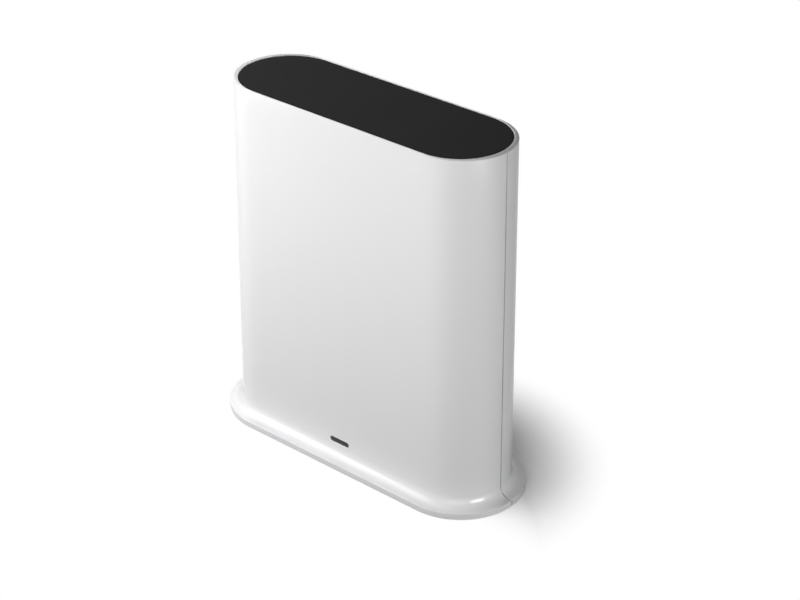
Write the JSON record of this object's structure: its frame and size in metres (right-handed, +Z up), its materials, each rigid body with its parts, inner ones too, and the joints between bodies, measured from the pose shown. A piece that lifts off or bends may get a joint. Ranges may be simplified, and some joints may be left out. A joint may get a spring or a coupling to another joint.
{
  "type": "security camera base station",
  "caption": "Slim upright base station for wireless security cameras: white split case on a flared foot, dark top panel, front status light, rear sockets and push buttons.",
  "frame": {"origin": "middle of the foot pad's footprint, on the surface that the station stands on", "axes": "+Z up, the front with the status light faces -Y, the sockets face +Y, the width lies along X"},
  "size_m": [0.1428, 0.053, 0.1506],
  "materials": {
    "white_plastic": "satin moulded plastic with a fine grain",
    "dark_panel": "flat matte moulded plastic",
    "button_plastic": "satin",
    "smoked_lens": "smooth smoked plastic",
    "rubber": "matte rubber",
    "steel": "plated sheet and screws",
    "board": "solder mask",
    "black_plastic": "moulded",
    "switch_metal": "plated sheet",
    "reset_plastic": "moulded",
    "contact_gold": "plated contacts",
    "aluminium": "plain",
    "clear_plastic": "clear",
    "light_chip": "resin",
    "soft_pad": "soft filled silicone",
    "ivory_plastic": "moulded",
    "aerial_film": "printed film",
    "lead_jacket": "thin coaxial jacket"
  },
  "bodies": {
    "case": {"front_shell": "white_plastic", "rear_shell": "white_plastic", "base_plate": "white_plastic", "top_panel": "dark_panel", "io_panel": "dark_panel", "indicator_lens": "smoked_lens", "foot_pad": "rubber", "base_screws": "steel", "board_screws": "steel", "processor_shield": "steel", "radio_shields": "steel", "usb_socket_shell": "steel", "power_inlet_pin": "steel", "main_board": "board", "processor": "black_plastic", "network_transformer": "black_plastic", "ethernet_socket": "black_plastic", "power_inlet": "black_plastic", "power_inductor": "black_plastic", "sync_switch": "switch_metal", "power_switch": "switch_metal", "reset_switch": "switch_metal", "ethernet_contacts": "contact_gold", "usb_contacts": "contact_gold", "antenna_plugs": "contact_gold", "heat_spreader": "aluminium", "capacitors": "aluminium", "light_pipe": "clear_plastic", "status_led": "light_chip", "thermal_pads": "soft_pad", "usb_tongue": "ivory_plastic", "left_antenna": "aerial_film", "right_antenna": "aerial_film", "left_antenna_lead": "lead_jacket", "right_antenna_lead": "lead_jacket"},
    "sync_button": {"sync_button": "button_plastic", "sync_plunger": "black_plastic"},
    "power_button": {"power_button": "button_plastic", "power_plunger": "black_plastic"},
    "reset_button": {"reset_plunger": "reset_plastic"}
  },
  "joints": [
    {"name": "sync_press", "type": "slide", "parent": "case", "child": "sync_button", "axis": [0, -1, 0], "range_m": [0, 0.0006], "stiffness_N_per_m": 3000},
    {"name": "power_press", "type": "slide", "parent": "case", "child": "power_button", "axis": [0, -1, 0], "range_m": [0, 0.0015], "stiffness_N_per_m": 2000},
    {"name": "reset_press", "type": "slide", "parent": "case", "child": "reset_button", "axis": [0, -1, 0], "range_m": [0, 0.0003], "stiffness_N_per_m": 5000}
  ]
}
